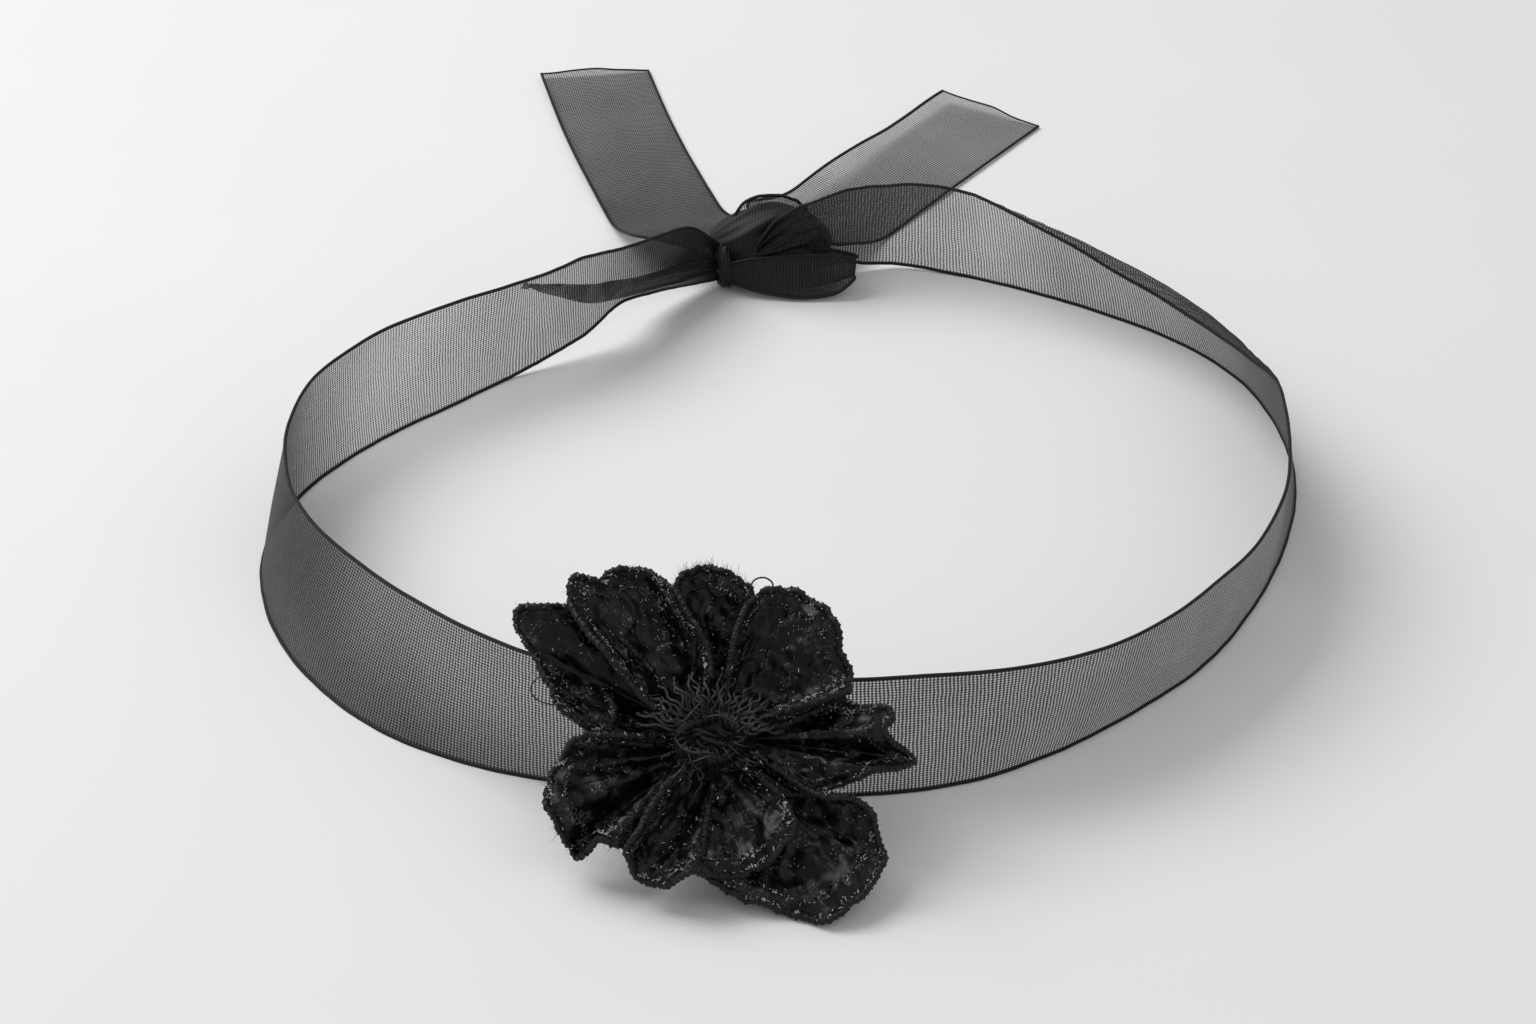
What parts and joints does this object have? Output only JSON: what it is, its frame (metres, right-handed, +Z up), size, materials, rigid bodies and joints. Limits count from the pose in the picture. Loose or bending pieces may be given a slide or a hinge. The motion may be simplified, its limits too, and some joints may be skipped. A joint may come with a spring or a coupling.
{
  "type": "knotted headband",
  "caption": "Sheer ribbon headband: a standing loop knotted at the back, with two liftable tails and a corded fabric flower sewn to the front.",
  "frame": {"origin": "centre of the head opening, on the surface that the headband stands on", "axes": "+Z up out of the head opening, -Y towards the flower at the front, +Y towards the knot and its tails"},
  "size_m": [0.1993, 0.3093, 0.0467],
  "materials": {
    "organza": "sheer black organza with firm woven selvedges",
    "petal_satin": "black embroidered satin with a soft mottled sheen",
    "edge_cord": "black overlocked cord",
    "thread": "black polished thread",
    "felt": "black pressed felt"
  },
  "bodies": {
    "headband": {"ribbon_loop": "organza", "left_gather": "organza", "right_gather": "organza", "knot_wrap": "organza", "knot_core": "organza", "knot_upper_fold": "organza", "knot_flap": "organza", "centre_coil": "edge_cord", "stamen_threads": "thread", "sewing_threads": "thread", "flower_base": "felt", "backing_disc": "felt", "petal_far_left": "petal_satin", "petal_upper_left": "petal_satin", "petal_top": "petal_satin", "petal_upper_right": "petal_satin", "petal_right": "petal_satin", "petal_lower_right": "petal_satin", "petal_lower_middle": "petal_satin", "petal_lower_left": "petal_satin", "edge_cord_far_left": "edge_cord", "edge_cord_upper_left": "edge_cord", "edge_cord_top": "edge_cord", "edge_cord_upper_right": "edge_cord", "edge_cord_right": "edge_cord", "edge_cord_lower_right": "edge_cord", "edge_cord_lower_middle": "edge_cord", "edge_cord_lower_left": "edge_cord"},
    "left_tail": {"left_tail": "organza"},
    "right_tail": {"right_tail": "organza"}
  },
  "joints": [
    {"name": "left_tail_lift", "type": "hinge", "parent": "headband", "child": "left_tail", "pos_m": [-0.0195, 0.101, 0.00675], "axis": [0.9588, 0.284, 0], "range_deg": [0, 80]},
    {"name": "right_tail_lift", "type": "hinge", "parent": "headband", "child": "right_tail", "pos_m": [0.0025, 0.1005, 0.00675], "axis": [0.8171, -0.5764, 0], "range_deg": [0, 80]}
  ]
}
